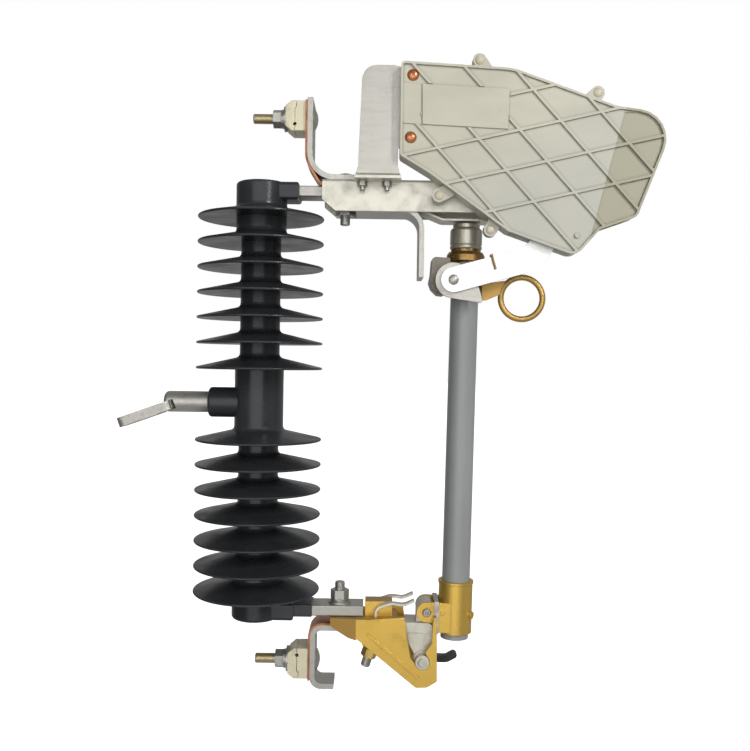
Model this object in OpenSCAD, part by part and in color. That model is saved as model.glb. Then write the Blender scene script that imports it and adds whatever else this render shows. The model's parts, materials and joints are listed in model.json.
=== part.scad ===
// Dropout fuse cutout with a load-break arc chute.
// Lengths are in millimetres. Z points up, X runs from the insulator towards the fuse
// holder and Y runs across the part. The origin lies on the lower face of the mounting
// strap, at the centre of its bolt hole. Most modules are drawn from the insulator's own
// axis, level with the centre of the mounting stub, and are then moved by placed().

/* [Mounting] */
// Length of the flat mounting strap
strap_l = 56; // [48:1:80]
// Width of the mounting strap
strap_w = 38; // [34:1:50]
// Thickness of the mounting strap
strap_t = 9.5; // [6:0.5:11]
// Slope of the strap below the level stub
strap_angle = 20; // [10:1:30]
// Diameter of the mounting bolt hole
mount_hole_d = 14; // [11:0.5:18]
// Distance from the strap's free end to the hole
mount_hole_inset = 18; // [14:1:24]
// Radius of the strap's corners
strap_corner_r = 7; // [3:1:12]
// Diameter of the round stub
stub_d = 21; // [18:0.5:26]
// Distance from the strap's inner end to the insulator axis
stub_reach = 84; // [78:1:110]
// Depth of the slot in the stub that takes the strap
stub_slot = 10; // [6:1:14]

/* [Insulator] */
// Diameter of the sheds
shed_d = 125; // [110:1:150]
// Number of sheds above the stub, and as many below it
shed_count = 7; // [5:1:9]
// Distance from shed to shed
shed_pitch = 24.9; // [22:0.1:30]
// Height of the lowest upper shed's tip above the stub
upper_shed_z = 34.5; // [32:0.5:50]
// Depth of the highest lower shed's tip below the stub
lower_shed_z = 36.5; // [34:0.5:50]
// Thickness of a shed's rim
rim_t = 2.4; // [2.4:0.2:5]
// Rise of a shed from its rim to the core
shed_rise = 10; // [7:0.5:12]
// Diameter of the core between sheds
core_d = 39.5; // [34:0.5:46]
// Diameter of the middle of the insulator
middle_d = 48.5; // [44:0.5:54]
// Diameter of the core over the metal end fittings
fitting_d = 50; // [46:0.5:54]
// Diameter of the top cap
top_cap_d = 50.5; // [46:0.5:58]
// Height of the top cap above the top shed's tip
top_cap_h = 35; // [30:0.5:44]
// Diameter of the bottom cap
bottom_cap_d = 48.5; // [46:0.5:56]
// Depth of the bottom cap below the bottom shed's tip
bottom_cap_h = 28; // [26:0.5:44]
// Diameter of the boss round the stub
boss_d = 30; // [28:0.5:38]
// Reach of the boss from the insulator axis
boss_reach = 49.5; // [42:0.5:60]

/* [End bars] */
// Width of the flat bars that leave the insulator
bar_w = 27; // [22:1:32]
// Thickness of these bars
bar_t = 10.5; // [8:0.5:12]
// Reach of the top bar from the insulator axis
top_bar_reach = 103; // [98:1:120]
// Reach of the bottom bar from the insulator axis
bottom_bar_reach = 107; // [100:1:120]
// Distance of the clamping bolts from the insulator axis
bolt_reach = 83.5; // [80:0.5:92]
// Diameter of the main bolts
bolt_d = 9.7; // [8:0.1:12]
// Width across flats of the main nuts
nut_af = 16; // [13:0.5:19]

/* [Upper channel] */
// Start of the channel from the insulator axis
channel_start = 61.5; // [56:0.5:70]
// End of the channel from the insulator axis
channel_end = 230; // [226:1:245]
// Width of the channel
channel_w = 48; // [42:1:56]
// Height of the channel
channel_h = 31; // [27:0.5:36]
// Thickness of the channel's sheet
channel_t = 3; // [2:0.5:4]
// Thickness of the copper strips
copper_t = 2; // [1:0.5:3]

/* [Terminals] */
// Width of the terminal bars
terminal_w = 38; // [32:1:40]
// Thickness of the terminal bars
terminal_t = 5.2; // [4:0.2:7]
// Position of the top terminal bar's near face
terminal_x = 45.9; // [42:0.1:50]
// Height of the top terminal bar above the channel
terminal_h = 80.5; // [70:0.5:100]
// Inner radius of the top bar's bend
terminal_bend_r = 22; // [14:1:26]
// Height of the top connector's bolt above the channel
top_connector_h = 63.5; // [60:0.5:72]
// Width of the bottom terminal bar
low_terminal_w = 31; // [26:1:32]
// Depth of the bottom terminal bar below the bottom bar
low_terminal_h = 71; // [64:0.5:80]
// Depth of the bottom connector's bolt below the bottom bar
low_connector_h = 46.5; // [42:0.5:50]
// Reach of the bottom connector bar's near face
low_terminal_x = 55.3; // [52:0.1:60]
// Height of the connector body
connector_h = 29.5; // [28:0.5:34]
// Width of the connector body
connector_w = 30; // [26:1:34]
// Thickness of the connector's base
connector_base_t = 10.5; // [10:0.5:14]
// Thickness of the connector's keeper
connector_keeper_t = 9; // [8:0.5:12]
// Diameter of the conductor groove, with the connector closed
groove_d = 3.5; // [2.5:0.5:4]

/* [Arc chute] */
// Thickness of the chute between its outer faces
chute_t = 20; // [19:0.5:26]
// Thickness of the chute's walls
chute_wall = 2.5; // [2:0.25:3]
// Distance from the channel's side to the chute
chute_gap = 2; // [1:0.5:4]
// Height of the ribs on the chute's faces
rib_h = 1.8; // [0.8:0.2:2]
// Width of these ribs
rib_w = 2.6; // [1.6:0.2:3.6]
// Thickness of the chute bracket's sheet
bracket_t = 2.5; // [1.5:0.5:3]

/* [Fuse holder] */
// Diameter of the fuse tube
tube_d = 27.6; // [24:0.2:30]
// Bore of the fuse tube
tube_bore_d = 15; // [11:0.5:19]
// Lean of the holder towards its open side
holder_lean = 0.9; // [0:0.1:2]
// Distance from the trunnion axis to the tube's axis
tube_off = 32.5; // [31:0.5:38]
// Height of the tube's lower end above the trunnion axis
tube_low = 19; // [14:0.5:20]
// Height of the upper casting's top above the trunnion axis
tube_top = 392; // [386:0.5:396]
// Height of the toggle pivot above the trunnion axis
toggle_h = 46.5; // [44:0.5:52]
// Distance of the toggle pivot from the tube's axis
toggle_off = 29.2; // [28:0.2:32]
// Radius of the trunnion pin
trunnion_r = 6.8; // [6:0.1:7]
// Running clearance round the trunnion pin
trunnion_gap = 0.4; // [0.2:0.1:0.8]
// Diameter of the pull ring to the middle of its bar
ring_d = 41.8; // [36:0.2:50]
// Diameter of the pull ring's bar
ring_bar_d = 6; // [5:0.2:8]
// Thickness of the load-break blade
blade_t = 4.8; // [3:0.2:5]
// Width of the load-break blade
blade_w = 23.5; // [18:0.5:26]

/* [Hinge] */
// Position of the trunnion axis from the insulator axis
hinge_x = 165.6; // [162:0.2:175]
// Depth of the trunnion axis below the stub
hinge_z = 249.7; // [246:0.2:256]
// Distance between the outer faces of the hinge cheeks
hinge_w = 46; // [44:1:52]
// Thickness of the hinge cheeks
cheek_t = 5; // [4:0.5:6]

/* [Hidden] */
$fn = 48;
// Clearance of a bolt or bar in its hole
fit = 0.2;
// Clearance of a bolt in a plain bolt hole
hole_gap = 0.6;
// Seat gap left where round or sprung faces meet
seat = 0.3;

// Place of the strap's inner end, seen from the origin
strap_run = strap_l - mount_hole_inset;
strap_end_x = strap_run * cos(strap_angle) - strap_t / 2 * sin(strap_angle);
strap_end_z = strap_run * sin(strap_angle) + strap_t / 2 * cos(strap_angle);
// The strap meets the slot a little below the stub's centre
strap_drop = 2.3;
shoulder = 0.4;
axis_x = strap_end_x + stub_reach;
axis_z = strap_end_z + strap_drop;

// Shed heights from the bottom of the insulator to its top
shed_z = concat(
    [for (k = [shed_count - 1 : -1 : 0]) -lower_shed_z - k * shed_pitch],
    [for (k = [0 : shed_count - 1]) upper_shed_z + k * shed_pitch]
);
last = 2 * shed_count;
housing_top = shed_z[last - 1] + top_cap_h;
housing_low = shed_z[0] - bottom_cap_h;
// Flat bars moulded into the two ends
top_bar_z = housing_top - 4 - bar_t;
low_bar_z = housing_low + 5.2;
bar_root = 14;
// Rubber sleeves round the bars
top_sleeve_reach = 38.5;
low_sleeve_reach = 56.8;

// Upper channel, with its web's top face as the level of the upper work
channel_z = top_bar_z + bar_t + copper_t + channel_t;
channel_low = channel_z - channel_h;
channel_in_w = channel_w - 2 * channel_t;
clamp_end = bolt_reach + 9;

// Arc chute beside the channel
chute_y = -(channel_w / 2 + chute_gap + chute_t / 2);
chute_x = 136;
chute_z = channel_z - 1.2;
ear_reach = channel_w / 2 + chute_gap + chute_t - 2;
bracket_bolt_x = [100.6, 124.4];
bracket_bolt_d = 5;
bracket_bolt_y = -(channel_w / 2 + 5.3);

// Fuse holder heights above the trunnion axis
cap_low = tube_top + 13.5;
cap_top = tube_top + 39.5;
contact_z = cap_top - hinge_z;
blade_z = tube_top - 20;
blade_off = 14.6;
blade_r = 12;

// Film between the top terminal bar's bend and the copper round it
strip_gap = 0.1;

// Hinge casting
neck_t = 6.5;
cheek_in = hinge_w / 2 - cheek_t;
low_leg_z = low_bar_z - neck_t - copper_t;

// ---- Shared shapes ----

function unit(v) = v / norm(v);
function left(v) = [-v[1], v[0]];
// Points along an arc
function arc(c, r, a0, a1, n = 8) =
    [for (k = [0 : n]) let(a = a0 + (a1 - a0) * k / n) c + r * [cos(a), sin(a)]];
// Points round one corner of a path
function corner(a, b, c, r, n) =
    let(
        u = unit(a - b), v = unit(c - b), half = acos(u * v) / 2,
        q = b + unit(u + v) * r / sin(half),
        s = b + u * r / tan(half) - q, e = b + v * r / tan(half) - q,
        a0 = atan2(s[1], s[0]),
        turn = (atan2(e[1], e[0]) - a0 + 540) % 360 - 180
    )
    arc(q, r, a0, a0 + turn, n);
// An open path with its inner corners rounded
function bent(p, r, n = 6) = [
    for (i = [0 : len(p) - 1])
    each (i == 0 || i == len(p) - 1 || r[i] == 0) ? [p[i]] : corner(p[i - 1], p[i], p[i + 1], r[i], n)
];
// A closed outline with its corners rounded
function outline(p, r, n = 6) = [
    for (i = [0 : len(p) - 1])
    let(m = len(p))
    each r[i] == 0 ? [p[i]] : corner(p[(i + m - 1) % m], p[i], p[(i + 1) % m], r[i], n)
];
// Offset direction at a point of a path, for a strip of even thickness
function mitre(p, i) =
    let(
        a = left(unit(i == 0 ? p[1] - p[0] : p[i] - p[i - 1])),
        b = i == len(p) - 1 ? a : left(unit(p[i + 1] - p[i])),
        m = unit(a + b)
    )
    m / (m * b);
// Outline of a strip bent along a path
function ribbon(p, t) = concat(
    [for (i = [0 : len(p) - 1]) p[i] + mitre(p, i) * t / 2],
    [for (i = [len(p) - 1 : -1 : 0]) p[i] - mitre(p, i) * t / 2]
);
// Outline of a strip whose bends are concentric, with radii to its middle line
function turn_way(p, i) = sign(cross(p[i] - p[i - 1], p[i + 1] - p[i]));
function side_line(p, r, d, n) = bent(
    [for (i = [0 : len(p) - 1]) p[i] + mitre(p, i) * d],
    [for (i = [0 : len(p) - 1]) r[i] == 0 ? 0 : r[i] - turn_way(p, i) * d],
    n
);
function strip(p, r, t, n = 6) = concat(
    side_line(p, r, t / 2, n),
    let(back = side_line(p, r, -t / 2, n)) [for (i = [len(back) - 1 : -1 : 0]) back[i]]
);
function rect(w, h, r, n = 4) = outline(
    [[w / 2, h / 2], [-w / 2, h / 2], [-w / 2, -h / 2], [w / 2, -h / 2]], [r, r, r, r], n
);

// Moves a piece drawn from the insulator axis to its place
module placed() translate([axis_x, 0, axis_z]) children();
// Moves a piece drawn from the trunnion axis to its place
module held() placed() translate([hinge_x, 0, -hinge_z]) rotate([0, holder_lean, 0]) children();
// Moves a piece drawn from the tube's axis, level with the trunnion
module tubed() held() translate([tube_off, 0, 0]) children();
// Gives a side view outline a width across the part
module across(w, y = 0) translate([0, y + w / 2, 0]) rotate([90, 0, 0]) linear_extrude(w) children();
// A round bar across the part
module rod(d, w, x, z, y = 0) translate([x, y, z]) rotate([90, 0, 0]) cylinder(d = d, h = w, center = true);
// A pin across the part, with chamfered and centre-drilled ends
module pin(d, w, x, z) translate([x, -w / 2, z]) rotate([-90, 0, 0]) rotate_extrude() polygon([
    [0, 1.2], [d / 4, 1.2], [d / 4, 0], [d / 2 - 0.8, 0], [d / 2, 0.8],
    [d / 2, w - 0.8], [d / 2 - 0.8, w], [d / 4, w], [d / 4, w - 1.2], [0, w - 1.2]
]);
// A bar of rounded section that runs along X
module along(x0, x1, w, z0, z1, r) {
    translate([x0, 0, (z0 + z1) / 2]) rotate([90, 0, 90])
        linear_extrude(x1 - x0) polygon(rect(w, z1 - z0, r));
}
// A bolt with a shallow domed head, head up, shank down from the origin
module domed_bolt(d, l, head_d, head_h) {
    dome_r = (head_d * head_d / 4 + head_h * head_h) / (2 * head_h);
    half = asin(head_d / 2 / dome_r);
    rotate_extrude() polygon(concat(
        [[0, -l], [d / 2 - 0.8, -l], [d / 2, -l + 0.8], [d / 2, 0]],
        arc([0, head_h - dome_r], dome_r, 90 - half, 90, 6)
    ));
}
// Washers and a hexagon nut stacked upwards from the origin
module nut_stack(d, af, washers, nut_h) {
    seat_z = washers == [] ? 0 : [for (w = washers) w[1]] * [for (w = washers) 1];
    difference() {
        union() {
            for (i = [0 : 1 : len(washers) - 1]) {
                below = i == 0 ? 0 : washers[i - 1][1];
                translate([0, 0, below]) cylinder(d = washers[i][0], h = washers[i][1]);
            }
            translate([0, 0, seat_z]) cylinder(d = af / cos(30), h = nut_h, $fn = 6);
        }
        translate([0, 0, -1]) cylinder(d = d + 2 * fit, h = seat_z + nut_h + 2);
    }
}

// ---- Insulator and its mounting ----

function section_r(i) = (
    i == 0 ? bottom_cap_d
    : i == last ? top_cap_d
    : i == shed_count ? middle_d
    : i == 1 || i == last - 1 ? fitting_d
    : core_d
) / 2;
// Outline of one shed, from the core below it to the core above it
function shed(z, below, above) =
    let(
        rim = shed_d / 2 - rim_t / 2,
        slope = shed_rise / (shed_d - core_d) * 2,
        root = z + rim_t / 2 + (rim - above) * slope,
        f = 4
    )
    concat(
        [[below, z - rim_t / 2 + 1.2]],
        arc([rim, z], rim_t / 2, -90, 76, 6),
        [
            for (s = [0 : 0.25 : 1])
            [above + f * pow(1 - s, 2), root - f * slope * pow(1 - s, 2) + f * pow(s, 2)]
        ]
    );

module housing_body() {
    r = 3;
    rotate_extrude() polygon(concat(
        [[0, housing_low]],
        arc([section_r(0) - r, housing_low + r], r, -90, 0, 4),
        [for (i = [0 : last - 1]) each shed(shed_z[i], section_r(i), section_r(i + 1))],
        arc([section_r(last) - r, housing_top - r], r, 0, 90, 4),
        [[0, housing_top]]
    ));
}
// Boss round the stub, with a rounded outer edge
module stub_boss() {
    r = 3;
    rotate([0, -90, 0]) rotate_extrude() polygon(concat(
        [[0, 0], [boss_d / 2, 0]],
        arc([boss_d / 2 - r, boss_reach - r], r, 0, 90, 4),
        [[0, boss_reach]]
    ));
}
// Rubber sleeve round a bar, rounded along its sides and round its end
module sleeve(reach, w, z0, z1, r) intersection() {
    along(bar_root, reach, w, z0, z1, r);
    across(w) polygon(outline([[0, z0], [reach, z0], [reach, z1], [0, z1]], [0, r, r, 0], 5));
}
module insulator_housing() color("dimgray") placed() difference() {
    union() {
        housing_body();
        stub_boss();
        sleeve(top_sleeve_reach, bar_w + 6, top_bar_z - 3.5, top_bar_z + bar_t + 3.5, 3.5);
        sleeve(top_sleeve_reach, bar_w + 7, low_bar_z - 4.5, low_bar_z + bar_t + 2, 3);
        sleeve(low_sleeve_reach, bar_w + 2, low_bar_z - 1, low_bar_z + bar_t + 1, 1.5);
    }
    translate([-boss_reach - 1, 0, 0]) rotate([0, 90, 0])
        cylinder(d = stub_d + 2 * fit, h = boss_reach + 1 - core_d / 2);
    for (z = [top_bar_z, low_bar_z])
        translate([bar_root, -bar_w / 2 - fit, z - fit])
            cube([top_bar_reach, bar_w + 2 * fit, bar_t + 2 * fit]);
}
module end_bar(reach, z) difference() {
    along(bar_root, reach, bar_w, z, z + bar_t, 1.2);
    translate([bolt_reach, 0, z - 1]) cylinder(d = bolt_d + 2 * hole_gap, h = bar_t + 2);
}
module top_end_bar() color("silver") placed() end_bar(top_bar_reach, top_bar_z);
module bottom_end_bar() color("silver") placed() end_bar(bottom_bar_reach, low_bar_z);

// Strap in its own frame: the origin is on its lower face, at the hole
module strap_block(extra = 0) {
    rotate([0, -strap_angle, 0]) translate([strap_run - strap_l, 0, 0]) linear_extrude(strap_t)
        translate([(strap_l + extra) / 2, 0]) polygon(rect(strap_l + extra, strap_w, strap_corner_r, 6));
}
module mounting_strap() color("lightgray") difference() {
    strap_block();
    // Shallow shoulder where the strap enters the slot
    rotate([0, -strap_angle, 0]) translate([strap_run - stub_slot - 5, -strap_w, -1])
        cube([strap_l, 2 * strap_w, 1 + shoulder]);
    rotate([0, -strap_angle, 0]) translate([0, 0, -1]) cylinder(d = mount_hole_d, h = strap_t + 2);
}
// Round stub, with a rounded free end that is slotted for the strap
module mounting_stub() color("silver") difference() {
    placed() translate([-core_d / 2, 0, 0]) rotate([0, -90, 0]) rotate_extrude() polygon(concat(
        [[0, 0], [stub_d / 2, 0]],
        arc([stub_d / 2 - 5, stub_reach + stub_slot - core_d / 2 - 5], 5, 0, 90, 6),
        [[0, stub_reach + stub_slot - core_d / 2]]
    ));
    rotate([0, -strap_angle, 0]) translate([strap_run - strap_l, -strap_w / 2, 0])
        cube([strap_l + 1.5, strap_w, strap_t]);
}

// ---- Upper channel and top terminal ----

module upper_channel() color("gainsboro") placed() difference() {
    union() {
        translate([channel_start, 0, 0]) rotate([90, 0, 90])
            linear_extrude(channel_end - channel_start) polygon(outline(
            [
                [channel_w / 2, channel_z], [-channel_w / 2, channel_z],
                [-channel_w / 2, channel_low], [-channel_in_w / 2, channel_low],
                [-channel_in_w / 2, channel_z - channel_t], [channel_in_w / 2, channel_z - channel_t],
                [channel_in_w / 2, channel_low], [channel_w / 2, channel_low]
            ],
            [channel_t, channel_t, 0, 0, 0, 0, 0, 0]
        ));
        translate([93, -ear_reach, channel_z - channel_t])
            cube([45, ear_reach - channel_in_w / 2, channel_t]);
    }
    across(channel_w + 2) polygon([
        [channel_start - 1, channel_low - 1], [channel_start + 13, channel_low - 1],
        [channel_start + 13, channel_low], [channel_start, channel_low + 11],
        [channel_start - 1, channel_low + 11]
    ]);
    translate([bolt_reach, 0, channel_z - channel_t - 1])
        cylinder(d = bolt_d + 2 * hole_gap, h = channel_t + 2);
    for (x = bracket_bolt_x) translate([x, bracket_bolt_y, channel_z - channel_t - 1])
        cylinder(d = bracket_bolt_d + hole_gap, h = channel_t + 2);
}
module channel_bolt() color("gray") placed() translate([bolt_reach, 0, channel_z + terminal_t])
    domed_bolt(bolt_d, 47, 23, 5);
module channel_nut() color("dimgray") placed() translate([bolt_reach, 0, top_bar_z]) rotate([180, 0, 0])
    nut_stack(bolt_d, nut_af, [[24, 2.6], [18, 3.6]], 10.8);

module top_terminal_bar() color("silver") placed() difference() {
    across(terminal_w) polygon(strip(
        [
            [clamp_end, channel_z + terminal_t / 2],
            [terminal_x + terminal_t / 2, channel_z + terminal_t / 2],
            [terminal_x + terminal_t / 2, channel_z + terminal_h]
        ],
        [0, terminal_bend_r + terminal_t / 2, 0], terminal_t, 10
    ));
    translate([bolt_reach, 0, channel_z - 1]) cylinder(d = bolt_d + 2 * hole_gap, h = terminal_t + 2);
    translate([terminal_x - 1, 0, channel_z + top_connector_h]) rotate([0, 90, 0])
        cylinder(d = bolt_d + 2 * hole_gap, h = terminal_t + 2);
}
// The copper strip follows the bar's bend and then dips under the channel's web
module top_copper_strip() color("chocolate") placed() difference() {
    c = [terminal_x + terminal_t + terminal_bend_r, channel_z + terminal_t + terminal_bend_r];
    r = terminal_bend_r + terminal_t + strip_gap + copper_t / 2;
    dip = [channel_start - 2, channel_z - channel_t - copper_t / 2];
    to_dip = dip - c;
    tangent = 360 + atan2(to_dip[1], to_dip[0]) - acos(r / norm(to_dip));
    half = (tangent - 180) / 2;
    across(terminal_w - 2) polygon(strip(
        [
            [c[0] - r, channel_z + terminal_h - 2], c + r / cos(half) * [-cos(half), -sin(half)],
            dip, [clamp_end, dip[1]]
        ],
        [0, r, 0, 0], copper_t, 8
    ));
    translate([bolt_reach, 0, dip[1] - 5]) cylinder(d = bolt_d + 2 * hole_gap, h = 10);
    translate([c[0] - r - 5, 0, channel_z + top_connector_h]) rotate([0, 90, 0])
        cylinder(d = bolt_d + 2 * hole_gap, h = 10);
}

// ---- Line connectors ----

// The two halves lock with a step at one end and share the conductor groove at the other
joint_gap = 0.4;
joint_step = 1.5;
step_h = connector_h / 2 - 7;
groove_off = bolt_d / 2 + groove_d / 2 + 1.6;
// Places a half in side view and cuts its holes; side is -1 with the groove below the bolt
module connector_half(x, z, side) placed() translate([x, 0, z])
    mirror([0, 0, side > 0 ? 1 : 0]) difference() {
        across(connector_w) children();
        translate([-60, 0, 0]) rotate([0, 90, 0]) cylinder(d = bolt_d + 2 * hole_gap, h = 90);
        rod(groove_d, connector_w + 2, -connector_base_t - joint_gap / 2, -groove_off);
    }
module connector_base(x, z, side) connector_half(x, z, side) {
    half_h = connector_h / 2;
    joint = -connector_base_t;
    polygon([
        [0, -half_h], [0, half_h], [joint + joint_step, half_h], [joint + joint_step, step_h],
        [joint, step_h], [joint, -half_h]
    ]);
}
module connector_keeper(x, z, side) connector_half(x, z, side) {
    half_h = connector_h / 2;
    joint = -connector_base_t - joint_gap;
    back = joint - connector_keeper_t;
    polygon([
        [joint, -half_h], [joint, step_h + joint_gap], [joint + joint_step, step_h + joint_gap],
        [joint + joint_step, half_h], [back + 6, half_h], [back, half_h - 5], [back, 5 - half_h],
        [back + 6, -half_h]
    ]);
}
connector_l = connector_base_t + connector_keeper_t + joint_gap;
module connector_bolt(x, z) placed() translate([x, 0, z]) rotate([0, 90, 0])
    domed_bolt(bolt_d, 60.5, 23.5, 4.2);
module connector_nut(x, z) placed() translate([x - connector_l, 0, z]) rotate([0, -90, 0])
    nut_stack(bolt_d, nut_af, [[25, 2.2], [18.5, 2.8]], 8.3);

top_copper_x = terminal_x - strip_gap - copper_t;
top_line_z = channel_z + top_connector_h;
module top_connector_base() color("beige") connector_base(top_copper_x, top_line_z, -1);
module top_connector_keeper() color("beige") connector_keeper(top_copper_x, top_line_z, -1);
module top_connector_bolt() color("gray") connector_bolt(terminal_x + terminal_t, top_line_z);
module top_connector_nut() color("dimgray") connector_nut(top_copper_x, top_line_z);

// ---- Arc chute ----

module chute_placed() placed() translate([chute_x, chute_y, chute_z]) children();
// Side outline of the chute, from its upper left corner round by the mouth
chute_points = [
    [0, 108.5], [106.5, 103], [205, 68.5], [262.5, 61.5], [225, -35.5],
    [190, -48], [168, -73.5], [103, -51], [28.5, 2.5], [0, 19.5]
];
chute_radii = [4, 60, 30, 28, 8, 12, 12, 6, 15, 4];
chute_outline = outline(chute_points, chute_radii);
// Part of the edge that is left open for the blade
chute_mouth = [[105, -49], [190, -20], [226, 50], [226, 100], [300, 100], [300, -100], [105, -100]];
chute_lugs = [[75, 112.5], [188, 83], [38, -17], [87.5, -49]];
chute_rivet_at = [[11.5, 95.5], [10, 36.5]];
lug_r = 6.5;
lug_t = 5;
lug_bolt_d = 5;
rivet_d = 6;
chute_half = chute_t / 2;
pad_points = [[20.5, 87], [103, 83.5], [102, 45.5], [21, 49]];
strip_pad = [[2, 88], [19, 87.3], [19.4, 48.9], [2, 50]];

// Line at which the wall steps in towards the mouth
chute_step = [[212.4, 63], [180.8, -58.8]];
step_depth = 0.8;
rim_w = 2.2;
// Lattice of ribs, the rim round the edge and a small round boss
module chute_ribs() {
    intersection() {
        offset(delta = -1) polygon(chute_outline);
        difference() {
            union() {
                for (k = [0 : 4]) translate([60 + 46.7 * k, 0]) rotate(-48)
                    square([400, rib_w], center = true);
                for (k = [0 : 3]) translate([150, 89 - 35.4 * k]) rotate(13.2)
                    square([500, rib_w], center = true);
                translate([168.4, -54.2]) circle(r = 2.2);
            }
            offset(delta = 0.5) polygon(pad_points);
            polygon(strip_pad);
        }
    }
    difference() {
        polygon(chute_outline);
        offset(delta = -rim_w) polygon(chute_outline);
    }
}
// The part of the wall beyond the step
module chute_flare() intersection() {
    offset(delta = -rim_w) polygon(chute_outline);
    polygon(concat(chute_step, [chute_step[1] + [150, 0], chute_step[0] + [150, 0]]));
}
// One half of the chute, its outer face towards -Y, its parting face on y = 0
module chute_shell() difference() {
    union() {
        difference() {
            union() {
                across(chute_half, -chute_half / 2) polygon(chute_outline);
                for (p = chute_lugs) across(lug_t, -lug_t / 2) hull() {
                    translate(p) circle(r = lug_r);
                    translate(p + 10 * unit([130, 30] - p)) circle(r = lug_r);
                }
            }
            across(chute_half, chute_wall - chute_half / 2)
                offset(delta = -chute_wall) polygon(chute_outline);
            across(chute_half, chute_wall - chute_half / 2) polygon(chute_mouth);
            across(2 * step_depth, -chute_half) chute_flare();
        }
        across(rib_h + 1, -chute_half + (1 - rib_h) / 2) chute_ribs();
        across(2.4, -chute_half) polygon(pad_points);
        across(1.6, -chute_half) polygon(strip_pad);
        for (p = chute_rivet_at) rod(14, chute_half, p[0], p[1], -chute_half / 2);
    }
    for (p = chute_lugs) rod(lug_bolt_d + hole_gap, 3 * chute_t, p[0], p[1]);
    for (p = chute_rivet_at) rod(rivet_d + hole_gap, 3 * chute_t, p[0], p[1]);
    across(bracket_t + 2 * fit) polygon([[-30, 27], [25, 27], [25, 104.5], [0, 107], [-30, 109]]);
}
module chute_front_shell() color("lightgray") chute_placed() chute_shell();
module chute_back_shell() color("lightgray") chute_placed() mirror([0, 1, 0]) chute_shell();
module chute_bolts() color("tan") chute_placed() for (p = chute_lugs) translate([p[0], -lug_t, p[1]]) {
    rotate([90, 0, 0]) domed_bolt(lug_bolt_d, 2 * lug_t + 5, 9, 2.2);
    translate([0, 2 * lug_t, 0]) rotate([-90, 0, 0]) nut_stack(lug_bolt_d, 8, [], 4);
}
// A tubular rivet from face to face, dimpled at both ends
module rivet() difference() {
    union() {
        translate([0, -chute_half, 0]) rotate([90, 0, 0]) domed_bolt(rivet_d, chute_half, 11.5, 2.5);
        translate([0, chute_half, 0]) rotate([-90, 0, 0]) domed_bolt(rivet_d, chute_half, 11.5, 2.5);
    }
    for (side = [-1, 1]) rod(3.4, 4, 0, 0, side * (chute_half + 2.6));
}
module chute_rivets() color("peru") chute_placed()
    for (p = chute_rivet_at) translate([p[0], 0, p[1]]) rivet();
// Angle bracket that stands on the channel's ear and holds the chute between its halves
module chute_bracket() color("lightgray") placed() difference() {
    intersection() {
        translate([90, 0, 0]) rotate([90, 0, 90]) linear_extrude(80) polygon(strip(
            [
                [-channel_w / 2 - 0.5, channel_z + bracket_t / 2], [chute_y, channel_z + bracket_t / 2],
                [chute_y, channel_z + 120]
            ],
            [0, 3, 0], bracket_t
        ));
        across(200) translate([0, channel_z]) polygon(outline(
            [
                [93, -1], [138, -1], [134.5, 10], [134.5, 27.5], [160, 27.5],
                [160, 98.5], [130, 106.5], [99.6, 106.5], [96.4, 10]
            ],
            [0, 0, 0, 0, 0, 4, 10, 14, 0]
        ));
    }
    for (x = bracket_bolt_x)
        translate([x, bracket_bolt_y, channel_z - 1])
            cylinder(d = bracket_bolt_d + hole_gap, h = bracket_t + 2);
    for (p = chute_rivet_at) rod(rivet_d + hole_gap, 20, chute_x + p[0], chute_z + p[1], chute_y);
}
module bracket_bolts() color("dimgray") placed() for (x = bracket_bolt_x)
    translate([x, bracket_bolt_y, channel_z + bracket_t]) {
        domed_bolt(bracket_bolt_d, 15, 9, 2.5);
        translate([0, 0, -bracket_t - channel_t]) rotate([180, 0, 0])
            nut_stack(bracket_bolt_d, 8, [[9, 1]], 4);
    }

// ---- Stop arm and upper contact ----

stop_t = 4.9;
stop_x = 161.6;
stop_low = 125.5;
module stop_arm() color("silver") placed() across(channel_in_w) polygon(strip(
    [
        [clamp_end + 2, channel_low + stop_t / 2], [stop_x - stop_t / 2, channel_low + stop_t / 2],
        [stop_x - stop_t / 2, stop_low]
    ],
    [0, 16 + stop_t / 2, 0], stop_t, 8
));
spring_t = 2;
spring_z = contact_z + seat + 0.2 + spring_t / 2;
module contact_spring() color("gainsboro") placed() across(28) polygon(strip(
    [
        [112, channel_low + stop_t + spring_t / 2], [152, channel_low + stop_t + spring_t / 2],
        [180, spring_z], [channel_end - 2, spring_z]
    ],
    [0, 10, 10, 0], spring_t, 4
));

// ---- Hinge and bottom terminal ----

// Moves a fixed piece drawn from the trunnion axis to its place
module hinged() placed() translate([hinge_x, 0, -hinge_z]) children();
// Level of the bottom bar's underside above the trunnion axis
hinge_top = low_bar_z + hinge_z;
neck_x = 75 - hinge_x;
cheek_x = -64.5;
slot_r = trunnion_r + trunnion_gap;

// Open-topped slot that holds the trunnion pin behind a retaining hump
module pin_slot() polygon(concat(
    [[-18.6, 50], [-17, 36], [-11.5, 3.5]],
    arc([0, 0], slot_r, 190, 395, 12),
    corner(slot_r * [cos(35), sin(35)], [2.6, 8.9], [9.3, 18], 1.5, 4),
    [[9.3, 18], [9.8, 37], [11.5, 50]]
));
module hinge_cheek() difference() {
    polygon(outline(
        [
            [cheek_x, hinge_top - 1], [-20.5, hinge_top + 2.5], [13.6, hinge_top + 2.5],
            [14.4, -18.5], [4.6, -24.3], [-6.4, -24.6], [cheek_x, 22]
        ],
        [0, 1, 1, 2, 6, 4, 3]
    ));
    pin_slot();
}
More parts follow.
